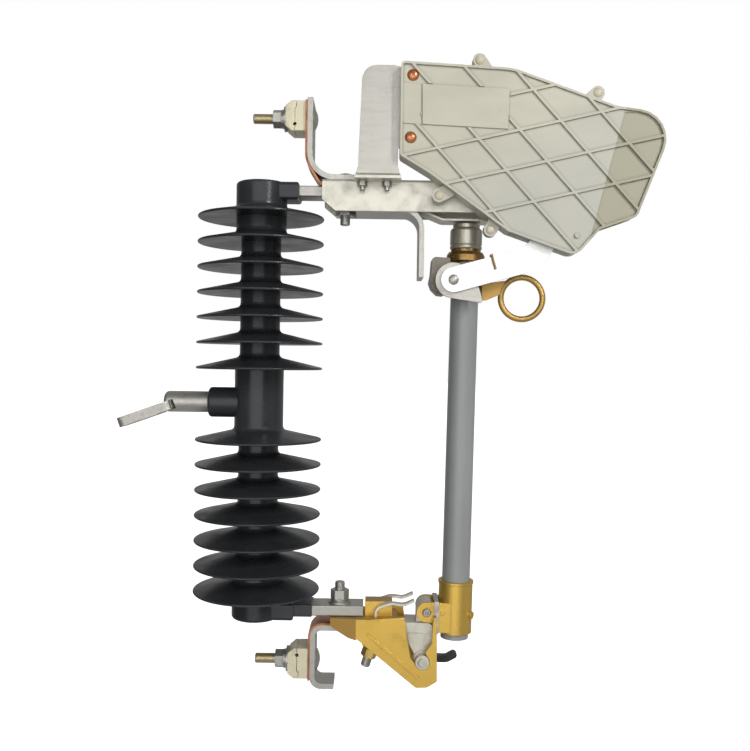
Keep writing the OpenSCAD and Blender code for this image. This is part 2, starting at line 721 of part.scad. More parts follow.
// Plan of the neck, which narrows towards the insulator
module neck_plan(inset) polygon([
    [neck_x, -hinge_w / 2 + 4 + inset], [cheek_x, -hinge_w / 2 + inset], [cheek_x + 8, -hinge_w / 2 + inset],
    [cheek_x + 8, hinge_w / 2 - inset], [cheek_x, hinge_w / 2 - inset], [neck_x, hinge_w / 2 - 4 - inset]
]);
module hinge_neck() intersection() {
    translate([0, 0, hinge_top - 25]) linear_extrude(25) difference() {
        neck_plan(0);
        translate([0, 0]) neck_plan(3);
    }
    across(hinge_w) polygon([
        [neck_x, hinge_top], [cheek_x, hinge_top], [cheek_x, 20.5], [cheek_x - 8, 22.5],
        [cheek_x - 18, 28], [neck_x, 33.5]
    ]);
}
// Places what lies along the slanting bolt at the bottom of the hinge
module slanted() translate([-48.5, 0, 12]) rotate([0, 18, 0]) children();
web_t = 4;
module hinge_casting() color("goldenrod") hinged() difference() {
    union() {
        for (side = [-1, 1]) across(cheek_t, side * (hinge_w - cheek_t) / 2) hinge_cheek();
        hinge_neck();
        translate([0, 0, hinge_top - neck_t]) linear_extrude(neck_t) intersection() {
            neck_plan(0);
            translate([neck_x, -hinge_w]) square([hinge_w, 2 * hinge_w]);
        }
        across(hinge_w - 2) polygon([
            [cheek_x + 2, hinge_top], [-24.5, hinge_top],
            [-24.5, hinge_top - 3.5], [cheek_x + 2, hinge_top - 3.5]
        ]);
        // Block that carries the contact leaves, past the end of the bar
        translate([bottom_bar_reach - hinge_x + 2, -9, hinge_top - 1]) cube([27, 18, 15]);
        slanted() translate([-11, -hinge_w / 2 + 2, 0]) cube([22, hinge_w - 4, web_t]);
        slanted() translate([0, 0, -3]) cylinder(r = 9, h = 3.5);
        // Raised bead along each cheek
        for (side = [-1, 1]) across(2.4, side * (hinge_w / 2 + 0.6))
            polygon(ribbon([[-53.5, 27.2], [-3.1, -15]], 2.6));
    }
    translate([bolt_reach - hinge_x, 0, hinge_top - neck_t - 1])
        cylinder(d = bolt_d + 2 * hole_gap, h = neck_t + 2);
    slanted() translate([0, 0, -5]) cylinder(d = 9 + hole_gap, h = web_t + 10);
}
leaf_path = [
    [-46, hinge_top], [-46, hinge_top + 9], [-31, hinge_top + 14], [-18.2, hinge_top + 12.4],
    [-8.4, hinge_top + 17]
];
module hinge_contacts() color("gainsboro") hinged() for (side = [-1, 1])
    across(7, side * 13.5) polygon(strip(leaf_path, [0, 7, 14, 12, 0], 2.2, 5));
module hinge_bolt() color("silver") hinged() slanted() translate([0, 0, web_t]) domed_bolt(9, 29, 18, 4);
module hinge_nut() color("gold") hinged() slanted() translate([0, 0, -3]) rotate([180, 0, 0])
    nut_stack(9, 13.5, [[17, 1.6], [15, 2.4]], 8);

module bottom_bolt() color("gray") placed()
    translate([bolt_reach, 0, low_leg_z - terminal_t]) rotate([180, 0, 0])
        domed_bolt(bolt_d, 45, 22, 4.4);
module bottom_nut() color("dimgray") placed() translate([bolt_reach, 0, low_bar_z + bar_t])
    nut_stack(bolt_d, nut_af, [[22, 2], [17.5, 2.4]], 8.6);

low_foot_z = low_bar_z - low_terminal_h;
module bottom_terminal_bar() color("silver") placed() difference() {
    r = 6 + terminal_t / 2;
    across(low_terminal_w) polygon(strip(
        [
            [clamp_end, low_leg_z - terminal_t / 2],
            [low_terminal_x + terminal_t / 2, low_leg_z - terminal_t / 2],
            [low_terminal_x + terminal_t / 2, low_foot_z + terminal_t / 2], [79, low_foot_z + terminal_t / 2]
        ],
        [0, r, r, 0], terminal_t, 8
    ));
    translate([bolt_reach, 0, low_leg_z - terminal_t - 1])
        cylinder(d = bolt_d + 2 * hole_gap, h = terminal_t + 2);
    translate([low_terminal_x - 1, 0, low_line_z]) rotate([0, 90, 0])
        cylinder(d = bolt_d + 2 * hole_gap, h = terminal_t + 2);
}
module bottom_copper_strip() color("chocolate") placed() difference() {
    x = low_terminal_x - copper_t / 2;
    across(low_terminal_w) polygon(strip(
        [[clamp_end, low_leg_z + copper_t / 2], [x, low_leg_z + copper_t / 2], [x, low_foot_z + 8]],
        [0, 6 + terminal_t + copper_t / 2, 0], copper_t, 8
    ));
    translate([bolt_reach, 0, low_leg_z - 4]) cylinder(d = bolt_d + 2 * hole_gap, h = 10);
    translate([x - 5, 0, low_line_z]) rotate([0, 90, 0]) cylinder(d = bolt_d + 2 * hole_gap, h = 10);
}
low_copper_x = low_terminal_x - copper_t;
low_line_z = low_bar_z - low_connector_h;
module bottom_connector_base() color("beige") connector_base(low_copper_x, low_line_z, 1);
module bottom_connector_keeper() color("beige") connector_keeper(low_copper_x, low_line_z, 1);
module bottom_connector_bolt() color("gray") connector_bolt(low_terminal_x + terminal_t, low_line_z);
module bottom_connector_nut() color("dimgray") connector_nut(low_copper_x, low_line_z);

// ---- Fuse holder ----

tube_end = tube_top - 4;
module fuse_tube() color("slategray") tubed() difference() {
    translate([0, 0, tube_low]) cylinder(d = tube_d, h = tube_end - tube_low);
    translate([0, 0, tube_low - 1]) cylinder(d = tube_bore_d, h = tube_end - tube_low + 2);
}
// Bronze casting round the top of the tube, with a cam-shaped bump on its back
module upper_casting() color("darkgoldenrod") tubed() difference() {
    union() {
        translate([0, 0, tube_top - 30]) cylinder(d = tube_d + 6, h = 30);
        across(24) polygon(outline(
            [
                [-13, tube_top - 29], [-18, tube_top - 30], [-21.8, tube_top - 33],
                [-27.8, tube_top - 32.5], [-33.8, tube_top - 27], [-36.3, tube_top - 20.5],
                [-34.8, tube_top - 12], [-34, tube_top + 2.5], [-31, tube_top + 4.5],
                [-17, tube_top + 4], [-10, tube_top - 3]
            ],
            [0, 2, 3, 3, 4, 4, 4, 1.5, 1.5, 2, 0], 4
        ));
        rod(16, 16, -blade_off, blade_z, -18);
    }
    translate([0, 0, tube_top - 31]) cylinder(d = tube_d + 2 * fit, h = 27);
    rod(5.5 + 2 * fit, 60, -blade_off, blade_z, -30);
    translate([0, 0, tube_top]) cylinder(r = 20, h = 30);
}
notch_count = 10;
module brass_ferrule() color("peru") tubed() difference() {
    translate([0, 0, tube_top]) rotate_extrude() polygon([
        [0, 0], [17.5, 0], [18.9, 1.8], [18.9, 7.5], [17, 10.6], [14.8, 11.2], [14.8, cap_low - tube_top],
        [0, cap_low - tube_top]
    ]);
    for (k = [0 : notch_count - 1]) rotate([0, 0, (k + 0.5) * 360 / notch_count])
        translate([12, -1.4, cap_low - 2.2]) cube([6, 2.8, 2.4]);
}
module contact_cap() color("lightgray") tubed() rotate_extrude() polygon(concat(
    [
        [0, cap_low], [14.9, cap_low], [15.9, cap_low + 1], [15.9, cap_low + 3.2], [15.1, cap_low + 3.7],
        [15.1, cap_low + 4.5], [15.9, cap_low + 5]
    ],
    arc([12.9, cap_top - 8], 3, 0, 60, 3),
    [[13.3, cap_top - 4.7], [13.3, cap_top - 1]],
    arc([10.3, cap_top - 3], 3, 45, 90, 3),
    [[0, cap_top]]
));

// The blade lies in the middle plane of the chute
blade_cy = chute_y;
sickle_c = [35.7, tube_top + 35];
sickle_in = 26.5;
module blade_outline() difference() {
    a = -72.6;
    union() {
        polygon(concat(
            arc([-blade_off, blade_z], blade_r, 107.4, 287.4, 14),
            arc(sickle_c, sickle_in + blade_w, a, 4, 12),
            arc([sickle_c[0] + 38, sickle_c[1] + 4], 6, 0, 180, 6),
            arc(sickle_c, sickle_in, 4, a, 10)
        ));
    }
}
hook_foot = [25, tube_top - 9];
hook_lean = 17;
hook_h = 14;
hook_d = 2.4;
module load_break_blade() color("whitesmoke") tubed() difference() {
    union() {
        across(blade_t, blade_cy) blade_outline();
        // Leg of the blade's spring, hooked over its upper edge
        translate([hook_foot[0], blade_cy - blade_t / 2 - 0.9, hook_foot[1]]) rotate([0, -hook_lean, 0])
            cylinder(d = hook_d, h = hook_h);
        rod(hook_d, blade_t + 1.8 + hook_d, hook_foot[0] - hook_h * sin(hook_lean),
            hook_foot[1] + hook_h * cos(hook_lean), blade_cy);
    }
    rod(5.5 + 2 * fit, 20, -blade_off, blade_z, blade_cy);
}
yoke_t = 5;
module blade_yoke() color("silver") tubed() difference() {
    across(yoke_t, blade_cy + blade_t / 2 + yoke_t / 2 + 0.2) polygon(concat(
        arc([-blade_off, blade_z], 17, 60, 250, 16),
        [[-14, tube_top - 37.5], [12.5, tube_top - 41], [14.5, tube_top - 39.5], [10.5, tube_top - 27]]
    ));
    rod(5.5 + 2 * fit, 30, -blade_off, blade_z, blade_cy);
}
module blade_pin() color("gainsboro") tubed()
    translate([-blade_off, blade_cy - blade_t / 2 - 0.2, blade_z]) rotate([90, 0, 0])
        domed_bolt(5.5, 28, 10, 1.6);

ring_c = [57.2, tube_top - 33];
module pull_ring() color("darkgoldenrod") tubed() {
    translate([ring_c[0], 0, ring_c[1]]) rotate([90, 0, 0])
        rotate_extrude() translate([ring_d / 2, 0]) circle(d = ring_bar_d);
    difference() {
        across(5) polygon([
            [15, tube_top - 36], [15, tube_top - 20.5], [39.5, tube_top - 16], [40, tube_top - 21.5],
            [38.5, tube_top - 28.5], [22, tube_top - 36]
        ]);
        translate([ring_c[0], 0, ring_c[1]]) rotate([90, 0, 0]) cylinder(d = ring_d, h = 20, center = true);
        cylinder(d = tube_d + 6 + 2 * fit, h = tube_top + 50);
    }
}

ear_in = 10.6;
ear_t = 5;
toggle_d = 8;
module lower_casting() color("goldenrod") tubed() difference() {
    union() {
        translate([0, 0, tube_low + 6]) cylinder(d = tube_d + 6, h = 51);
        translate([0, 0, tube_low + 54.5]) cylinder(d = tube_d + 7.4, h = 2.5);
        for (side = [-1, 1]) across(ear_t, side * (ear_in + ear_t / 2)) union() {
            translate([-toggle_off, toggle_h]) circle(r = 9.8);
            translate([-toggle_off, toggle_h - 9.8]) square([toggle_off - 6, 19.6]);
            translate([-18, 27]) square([14, 29]);
        }
        for (side = [-1, 1]) rod(4.4, 2, -13.4, toggle_h, side * (ear_in + ear_t));
        // Screw that pinches the casting on the tube
        translate([0, 0, toggle_h - 2.5]) rotate([0, 90, -35]) cylinder(d = 7.4, h = tube_d / 2 + 5.6);
    }
    translate([0, 0, 20]) cylinder(d = tube_d + 2 * fit, h = 60);
    rod(toggle_d + 2 * fit, 60, -toggle_off, toggle_h);
}
module toggle_pin() color("silver") tubed() {
    pin(toggle_d, 2 * (ear_in + ear_t) + 4, -toggle_off, toggle_h);
}
band_top = toggle_h + 11.2;
module retaining_band() color("rosybrown") tubed() {
    for (side = [-1, 1]) across(1, side * (ear_in + ear_t + 0.8))
        translate([-22, 26]) square([4.6, band_top - 26]);
    for (z = [26.5, band_top - 0.5]) translate([-19.7, 0, z])
        cube([4.6, 2 * (ear_in + ear_t + 1.3), 1], center = true);
}
module trunnion_casting() color("silver") held() difference() {
    px = tube_off - toggle_off;
    union() {
        across(23) polygon(concat(
            [[-17, toggle_h - 15], [9.5, toggle_h - 15], [9.5, 19], [8.5, 9]],
            arc([0, 0], 9, 30, -210, 12),
            [[-13, 14], [-15.5, 24]]
        ));
        // Saddle that stands wider than the arm below it
        across(28) polygon([
            [-18.5, toggle_h - 10.7], [6, toggle_h - 10.7], [9.5, toggle_h - 13], [9.5, 28],
            [3, 25.5], [-15.8, 26.5]
        ]);
        rod(16.6, 28, 0, 0);
        across(2 * ear_in - 1) union() {
            translate([px, toggle_h]) circle(r = 9.8);
            translate([px - 9.8, toggle_h - 12]) square([19.6, 12]);
        }
        rod(2 * trunnion_r, hinge_w + 1, 0, 0);
        pin(8.4, hinge_w + 4.6, 0, 0);
    }
    rod(toggle_d + 2 * fit, 60, px, toggle_h);
    difference() {
        across(8) polygon([[-14, -14], [40, -14], [40, 15], [-14, 15]]);
        rod(7, 20, 0, 0);
    }
}
module flipper() color("black") held() difference() {
    union() {
        rod(14, 7.2, 0, 0);
        across(6.4) polygon(strip([[4, 0], [17, -2.5], [25, -2.5], [32, 1.5]], [0, 15, 8, 0], 7, 5));
        rod(7, 6.4, 32, 1.5);
    }
    rod(7 + 2 * fit, 20, 0, 0);
}

insulator_housing();
top_end_bar();
bottom_end_bar();
mounting_stub();
mounting_strap();
upper_channel();
channel_bolt();
channel_nut();
top_terminal_bar();
top_copper_strip();
top_connector_base();
top_connector_keeper();
top_connector_bolt();
top_connector_nut();
chute_bracket();
bracket_bolts();
chute_front_shell();
chute_back_shell();
chute_bolts();
chute_rivets();
stop_arm();
contact_spring();
hinge_casting();
hinge_contacts();
hinge_bolt();
hinge_nut();
bottom_bolt();
bottom_nut();
bottom_terminal_bar();
bottom_copper_strip();
bottom_connector_base();
bottom_connector_keeper();
bottom_connector_bolt();
bottom_connector_nut();
fuse_tube();
upper_casting();
brass_ferrule();
contact_cap();
blade_yoke();
load_break_blade();
blade_pin();
pull_ring();
lower_casting();
toggle_pin();
retaining_band();
trunnion_casting();
flipper();
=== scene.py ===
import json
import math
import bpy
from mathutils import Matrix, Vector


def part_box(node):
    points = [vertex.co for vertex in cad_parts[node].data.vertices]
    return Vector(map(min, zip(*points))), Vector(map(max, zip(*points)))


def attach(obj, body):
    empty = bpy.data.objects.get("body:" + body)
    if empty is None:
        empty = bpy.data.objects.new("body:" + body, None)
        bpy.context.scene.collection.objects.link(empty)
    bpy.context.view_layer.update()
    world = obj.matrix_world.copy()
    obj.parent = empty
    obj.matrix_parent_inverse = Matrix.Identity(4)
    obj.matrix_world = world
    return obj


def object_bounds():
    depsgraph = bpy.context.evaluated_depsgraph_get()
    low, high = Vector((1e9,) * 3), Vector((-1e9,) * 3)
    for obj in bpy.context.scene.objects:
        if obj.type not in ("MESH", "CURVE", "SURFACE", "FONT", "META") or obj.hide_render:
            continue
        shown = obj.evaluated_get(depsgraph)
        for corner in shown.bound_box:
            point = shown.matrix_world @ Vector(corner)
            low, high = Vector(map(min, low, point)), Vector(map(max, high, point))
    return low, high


bl_info = {
    "name": "Dropout fuse cutout",
    "version": (1, 0, 0),
    "blender": (4, 5, 0),
    "location": "View3D > Sidebar > Cutout",
    "description": "Finishes, small hardware, stage and light for a dropout fuse cutout",
    "category": "Object",
}

import bpy
from mathutils import Matrix, Vector

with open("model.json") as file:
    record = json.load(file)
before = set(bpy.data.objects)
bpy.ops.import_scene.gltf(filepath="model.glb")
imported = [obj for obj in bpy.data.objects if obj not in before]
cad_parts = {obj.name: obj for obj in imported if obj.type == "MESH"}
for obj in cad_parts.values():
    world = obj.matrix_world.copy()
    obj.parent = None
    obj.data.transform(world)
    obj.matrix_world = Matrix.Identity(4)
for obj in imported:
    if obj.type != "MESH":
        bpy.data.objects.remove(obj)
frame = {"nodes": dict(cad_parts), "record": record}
cad_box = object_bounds()

X, Z = Vector((1, 0, 0)), Vector((0, 0, 1))

# Where the spring's bar crosses the blade, from the blade's pin, and how far round it its colour goes
SPRING_BAR = Vector((0.0359, 0, 0.0239))
BAR_REACH = 0.0015
# How far back from the blade's front the spring's leg reaches
LEG_DEPTH = 0.002
# How far the chute's tip hangs below the chute's own origin
CHUTE_DROP = 0.0735
# Length of the hinge's neck, from its end to the cheeks
NECK = 0.026
# Line in the chute's side view at which its wall steps in: x = STEP_FOOT + STEP_SLOPE * z
STEP_SLOPE = 0.2594
STEP_FOOT = 0.1961
# Radii of the main bolts and of the hinge's bolt, and how far that one leans
MAIN_RADIUS = 0.00485
HINGE_RADIUS = 0.0045
HINGE_SLANT = math.radians(18)
# A thread's section and how deep its middle lies in the bolt, both in crests
THREAD_SECTION, THREAD_DEPTH = 1.6, 0.6
# How far from the nut a thread starts, in pitches, and the steps in one turn
THREAD_START, THREAD_STEPS = 0.6, 28

# The camera, the two lamps, the floor and the dim level of the room
CAMERA_PLACE = (0.2334, -0.85, 0.0637)
CAMERA_LENS = 40.8
CAMERA_SHIFT = -0.0204
CAMERA_ROLL = math.radians(0.83)
FRONT_PLACE, FRONT_SIZE = (-0.1, -2.7, 0.2), (3.0, 2.6)
STRIP_PLACE, STRIP_SIZE = (1.7, -1.9, 1.2), (0.28, 0.9)
FLOOR_RADIUS = 30
ROOM_LEVEL = 0.13


class Value:
    """One output of a finish's nodes, with arithmetic on it."""

    def __init__(self, finish, socket):
        self.finish = finish
        self.socket = socket

    def work(self, operation, first, second):
        return self.finish.node("Math", {0: first, 1: second}, operation=operation)

    def __add__(self, other):
        return self.work("ADD", self, other)

    def __mul__(self, other):
        return self.work("MULTIPLY", self, other)

    def __sub__(self, other):
        return self.work("SUBTRACT", self, other)


class Finish:
    """A procedural material that grows node by node."""

    def __init__(self, name):
        self.material = bpy.data.materials.new(name)
        self.material.use_nodes = True
        self.tree = self.material.node_tree
        self.shader = self.tree.nodes["Principled BSDF"]
        self.place = self.node("TexCoord", out="Object")

    def node(self, kind, inputs=None, out=0, **settings):
        """Adds a node, gives it its settings first, then the values or links of its sockets."""
        made = self.tree.nodes.new("ShaderNode" + kind)
        for name, value in settings.items():
            setattr(made, name, value)
        for name, value in (inputs or {}).items():
            self.plug(made.inputs[name], value)
        return Value(self, made.outputs[out])

    def plug(self, socket, value):
        """Links a value to a socket, or sets the socket to plain numbers."""
        if isinstance(value, Value):
            self.tree.links.new(value.socket, socket)
        elif socket.type == "RGBA":
            socket.default_value = (*value, 1)
        else:
            socket.default_value = value

    def set(self, **sockets):
        for name, value in sockets.items():
            self.plug(self.shader.inputs[name.replace("_", " ")], value)
        return self.material

    def stretched(self, x=1, y=1, z=1):
        return self.node("Mapping", {"Vector": self.place, "Scale": (x, y, z)})

    def noise(self, scale, detail=3, at=None, rough=0.55):
        sockets = {"Vector": at or self.place, "Scale": scale, "Detail": detail, "Roughness": rough}
        return self.node("TexNoise", sockets)

    def cells(self, scale, at=None, out="Distance"):
        return self.node("TexVoronoi", {"Vector": at or self.place, "Scale": scale}, out)

    def fade(self, value, low, high, first=0, last=1):
        """A smooth step of value, from first at low to last at high."""
        sockets = {"Value": value, "From Min": low, "From Max": high, "To Min": first, "To Max": last}
        return self.node("MapRange", sockets, interpolation_type="SMOOTHSTEP")

    def mix(self, share, first, second, way="MIX"):
        return self.node("Mix", {0: share, 6: first, 7: second}, 2, data_type="RGBA", blend_type=way)

    def along(self, axis):
        """The coordinate along one axis, in metres."""
        return self.node("SeparateXYZ", {0: self.place}, axis)

    def upward(self):
        """How far the surface faces up, from -1 to 1."""
        normal = self.node("TexCoord", out="Normal")
        return self.node("SeparateXYZ", {0: normal}, "Z")

    def soft_edge(self, radius):
        """A normal that rounds the edges, and a mask of where it does so."""
        rounded = self.node("Bevel", {"Radius": radius}, samples=4)
        flat = self.node("NewGeometry", out="Normal")
        met = self.node("VectorMath", {0: rounded, 1: flat}, "Value", operation="DOT_PRODUCT")
        return rounded, self.fade(met, 0.995, 0.86)

    def corners(self, reach, low=0.55, high=0.95):
        """A mask of where faces meet in a hollow, for painted shade there, with some grime."""
        open_share = self.node("AmbientOcclusion", {"Distance": reach}, "AO", samples=6, only_local=True)
        return self.fade(open_share, high, low)

    def relief(self, height, depth, normal=None):
        """Bump of a height that runs from 0 to 1, depth in metres."""
        sockets = {"Height": height, "Distance": depth}
        if normal:
            sockets["Normal"] = normal
        return self.node("Bump", sockets)


def shade(colour, factor):
    """A colour made darker or lighter by a factor."""
    return tuple(min(1, part * factor) for part in colour)


def rubber(look):
    """Moulded grey silicone rubber, satin, with a faint bloom of dust on what faces up."""
    new = Finish("grey_rubber")
    cloud = new.noise(28, 4)
    fine = new.noise(900, 2)
    bloom = new.fade(new.upward(), 0.2, 1) * new.fade(new.noise(60, 5), 0.42, 0.7)
    tone = new.mix(new.fade(cloud, 0.3, 0.7), shade(look, 0.86), shade(look, 1.12))
    tone = new.mix(bloom * 0.12, tone, shade(look, 2.0))
    gloss = new.fade(cloud, 0.3, 0.7, 0.22, 0.34) + bloom * 0.1
    new.set(Base_Color=tone, Roughness=gloss, Normal=new.relief(fine, 0.00005))
    return new.set(Specular_IOR_Level=0.32)


def galvanised(look):
    """Hot-dip zinc: soft spangle, dull patches and scratches, with painted shade and some grime where
    faces meet in a hollow.
    """
    new = Finish("galvanised")
    bent = new.node("VectorMath", {0: new.place, 1: new.noise(90, 2)}, operation="ADD")
    spangle = new.cells(260, bent, "Color")
    flake = new.node("SeparateColor", {0: spangle}, 0)
    dirt = new.fade(new.noise(55, 6, rough=0.7), 0.53, 0.75)
    smear = new.noise(30, 5, new.stretched(1, 1, 7))
    scratch = new.fade(new.noise(240, 3, new.stretched(0.12, 1, 1)), 0.62, 0.7)
    rounded, edge_highlight_and_wear = new.soft_edge(0.0006)
    tone = new.mix(flake * 0.35, look, shade(look, 0.86))
    tone = new.mix(new.fade(smear, 0.45, 0.75) * 0.35, tone, shade(look, 0.72))
    tone = new.mix(dirt * 0.3, tone, (0.36, 0.32, 0.23))
    # Painted shade, with some grime, darkens the hollows where faces meet
    tone = new.mix(new.corners(0.003) * 0.5, tone, shade(look, 0.35))
    # Edges lighter: partly wear, partly painted highlight
    tone = new.mix(edge_highlight_and_wear * 0.5, tone, shade(look, 1.3))
    gloss = flake * 0.1 + dirt * 0.2 - scratch * 0.08 + 0.33
    height = flake * 0.25 + new.noise(500, 3) * 0.5 - scratch * 0.3
    new.set(Base_Color=tone, Roughness=gloss, Normal=new.relief(height, 0.00012, rounded))
    return new.set(Metallic=0.8)


def tinned(look):
    """Tin-plated bronze, near white, with a cast skin and grey patches."""
    new = Finish("tinned")
    skin = new.noise(420, 4, rough=0.65)
    grey = new.fade(new.noise(70, 5, rough=0.65), 0.4, 0.75)
    rounded, edge_highlight_and_wear = new.soft_edge(0.0007)
    tone = new.mix(grey * 0.5, look, shade(look, 0.72))
    # Edges lighter: partly wear, partly painted highlight
    tone = new.mix(edge_highlight_and_wear * 0.5, tone, shade(look, 1.25))
    new.set(Base_Color=tone, Roughness=grey * 0.18 + 0.34, Normal=new.relief(skin, 0.0002, rounded))
    return new.set(Metallic=0.55)


def sand_skin(new):
    """Height, pits and stains of a sand-cast skin."""
    pebble = new.noise(520, 5, rough=0.7)
    cloud = new.noise(46, 5, rough=0.6)
    pits = new.fade(new.cells(330), 0.16, 0.05) * new.fade(cloud, 0.4, 0.6)
    return pebble - pits * 0.6, pits, new.fade(cloud, 0.5, 0.78)


def cast_bronze(look, name, shine=0.75):
    """Sand-cast bronze: pebbled skin, brown in the pits, edges lighter as wear and painted highlight."""
    new = Finish(name)
    height, pits, stain = sand_skin(new)
    rounded, edge_highlight_and_wear = new.soft_edge(0.0008)
    tone = new.mix(stain * 0.55, look, shade(look, 0.55))
    tone = new.mix(pits * 0.6, tone, shade(look, 0.3))
    # Edges lighter: partly wear, partly painted highlight
    tone = new.mix(edge_highlight_and_wear * 0.6, tone, shade(look, 1.35))
    gloss = stain * 0.16 + pits * 0.2 - edge_highlight_and_wear * 0.1 + 0.36
    new.set(Base_Color=tone, Roughness=gloss, Normal=new.relief(height, 0.0003, rounded))
    return new.set(Metallic=shine)


def turned_brass(look):
    """Machined brass with fine lathe lines round the upright axis."""
    new = Finish("turned_brass")
    line = new.noise(2600, 2, new.stretched(0.02, 0.02, 1))
    tarnish = new.fade(new.noise(110, 5), 0.42, 0.72)
    rounded, edge_highlight_and_wear = new.soft_edge(0.0004)
    tone = new.mix(tarnish * 0.5, look, shade(look, 0.6))
    # Edges lighter: partly wear, partly painted highlight
    tone = new.mix(edge_highlight_and_wear * 0.4, tone, shade(look, 1.3))
    gloss = tarnish * 0.2 + line * 0.1 + 0.2
    new.set(Base_Color=tone, Roughness=gloss, Normal=new.relief(line, 0.00005, rounded))
    return new.set(Metallic=0.9)


def chute_plastic(look, corner):
    """Fibre-filled moulded plastic: flow marks and specks, painted shade in olive beyond the step,
    painted shade and some grime where faces meet in a hollow, cooler low down.
    """
    new = Finish("chute_plastic")
    out, up = new.along("X") - corner[0], new.along("Z") - corner[1]
    step_shade = new.fade(out - up * STEP_SLOPE, STEP_FOOT - 0.0006, STEP_FOOT + 0.0006)
    cool = new.fade(out * 0.5 - up + new.noise(9, 3) * 0.05, 0.02, 0.11)
    flow = new.noise(14, 5, new.stretched(1, 1, 2.2))
    specks = new.fade(new.cells(420), 0.09, 0.03)
    grime = new.fade(new.noise(120, 6, rough=0.7), 0.56, 0.8)
    rounded, edge_highlight_and_wear = new.soft_edge(0.0006)
    tone = new.mix(new.fade(flow, 0.3, 0.7), shade(look, 0.93), shade(look, 1.05))
    tone = new.mix(cool * 0.6, tone, (look[0] * 0.86, look[1] * 0.89, look[2] * 0.98))
    # Painted shade: the wall beyond the step darker and olive, as if turned away from the light
    tone = new.mix(step_shade * 0.85, tone, (look[0] * 0.66, look[1] * 0.66, look[2] * 0.56))
    tone = new.mix(grime * 0.25, tone, shade(look, 0.62))
    tone = new.mix(specks * 0.3, tone, shade(look, 0.5))
    # Edges lighter: partly wear, partly painted highlight
    tone = new.mix(edge_highlight_and_wear * 0.35, tone, shade(look, 1.25))
    # Painted shade, with some grime, darkens the hollows where faces meet
    tone = new.mix(new.corners(0.003) * 0.55, tone, (look[0] * 0.34, look[1] * 0.33, look[2] * 0.3))
    gloss = new.fade(flow, 0.3, 0.7, 0.36, 0.46) + grime * 0.15
    new.set(Base_Color=tone, Roughness=gloss, Normal=new.relief(new.noise(700, 3), 0.00008, rounded))
    return new.set(Specular_IOR_Level=0.5)


def nylon(look):
    """Cream moulded nylon, a little waxy."""
    new = Finish("nylon")
    cloud = new.noise(90, 4)
    rounded, edge_highlight_and_wear = new.soft_edge(0.0005)
    tone = new.mix(new.fade(cloud, 0.35, 0.7), look, shade(look, 0.84))
    new.set(Base_Color=tone, Roughness=new.fade(cloud, 0.3, 0.7, 0.34, 0.48),
            Normal=new.relief(new.noise(800, 2), 0.00006, rounded))
    return new.set(Subsurface_Weight=0.08)


def copper(look, name="copper"):
    """Dull rolled copper with darker handling marks."""
    new = Finish(name)
    grain = new.noise(500, 3, new.stretched(1, 0.06, 0.4))
    dark = new.fade(new.noise(80, 5, rough=0.65), 0.42, 0.7)
    rounded, edge_highlight_and_wear = new.soft_edge(0.0004)
    tone = new.mix(dark * 0.7, look, shade(look, 0.45))
    # Edges lighter: partly wear, partly painted highlight
    tone = new.mix(edge_highlight_and_wear * 0.4, tone, shade(look, 1.4))
    new.set(Base_Color=tone, Roughness=dark * 0.2 + grain * 0.1 + 0.3,
            Normal=new.relief(grain, 0.00008, rounded))
    return new.set(Metallic=0.85)


def painted_tube(look):
    """Grey paint over wound fibre: the winding shows faintly, with a few rubs."""
    new = Finish("tube_fibre")
    wound = new.noise(300, 2, new.stretched(0.25, 0.25, 3))
    cloud = new.noise(22, 5, new.stretched(1, 1, 0.35))
    rub = new.fade(new.noise(150, 6, rough=0.75), 0.62, 0.78)
    tone = new.mix(new.fade(cloud, 0.3, 0.7), shade(look, 0.93), shade(look, 1.06))
    tone = new.mix(rub * 0.3, tone, shade(look, 1.5))
    new.set(Base_Color=tone, Roughness=rub * 0.2 + new.fade(cloud, 0.3, 0.7, 0.3, 0.4),
            Normal=new.relief(wound, 0.00006))
    return new.set(Specular_IOR_Level=0.5)


def steel(look, name, rough=0.25):
    """Plated or bright steel with a fine grain and duller clouds."""
    new = Finish(name)
    grain = new.noise(700, 3, new.stretched(1, 1, 0.15))
    cloud = new.noise(120, 5)
    rounded, edge_highlight_and_wear = new.soft_edge(0.0005)
    tone = new.mix(new.fade(cloud, 0.35, 0.7), look, shade(look, 0.7))
    # Edges lighter: partly wear, partly painted highlight
    tone = new.mix(edge_highlight_and_wear * 0.4, tone, shade(look, 1.3))
    new.set(Base_Color=tone, Roughness=new.fade(cloud, 0.3, 0.7, rough, rough + 0.15),
            Normal=new.relief(grain, 0.00006, rounded))
    return new.set(Metallic=0.9)


def blade_plate(look, spring):
    """Bright plate on the blade, with the dark gold leg of its spring over it."""
    new = Finish("blade_plate")
    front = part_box("load_break_blade")[0][1]
    low, high = (Vector(corner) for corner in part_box("blade_pin"))
    bar_at = (low + high) / 2 + SPRING_BAR
    across, up = new.along("X") - bar_at.x, new.along("Z") - bar_at.z
    bar = new.fade(across * across + up * up, (BAR_REACH + 0.0002) ** 2, BAR_REACH ** 2)
    leg = new.fade(new.along("Y"), front + LEG_DEPTH, front + LEG_DEPTH - 0.0002)
    cloud = new.noise(40, 5)
    hair = new.noise(400, 3, new.stretched(0.1, 1, 1))
    rounded, edge_highlight_and_wear = new.soft_edge(0.0004)
    tone = new.mix(new.fade(cloud, 0.35, 0.75) * 0.3, look, shade(look, 0.86))
    tone = new.mix(leg + bar, tone, spring)
    gloss = new.fade(cloud, 0.3, 0.7, 0.3, 0.4) + hair * 0.08
    new.set(Base_Color=tone, Roughness=gloss, Normal=new.relief(hair, 0.00004, rounded))
    return new.set(Metallic=0.5)


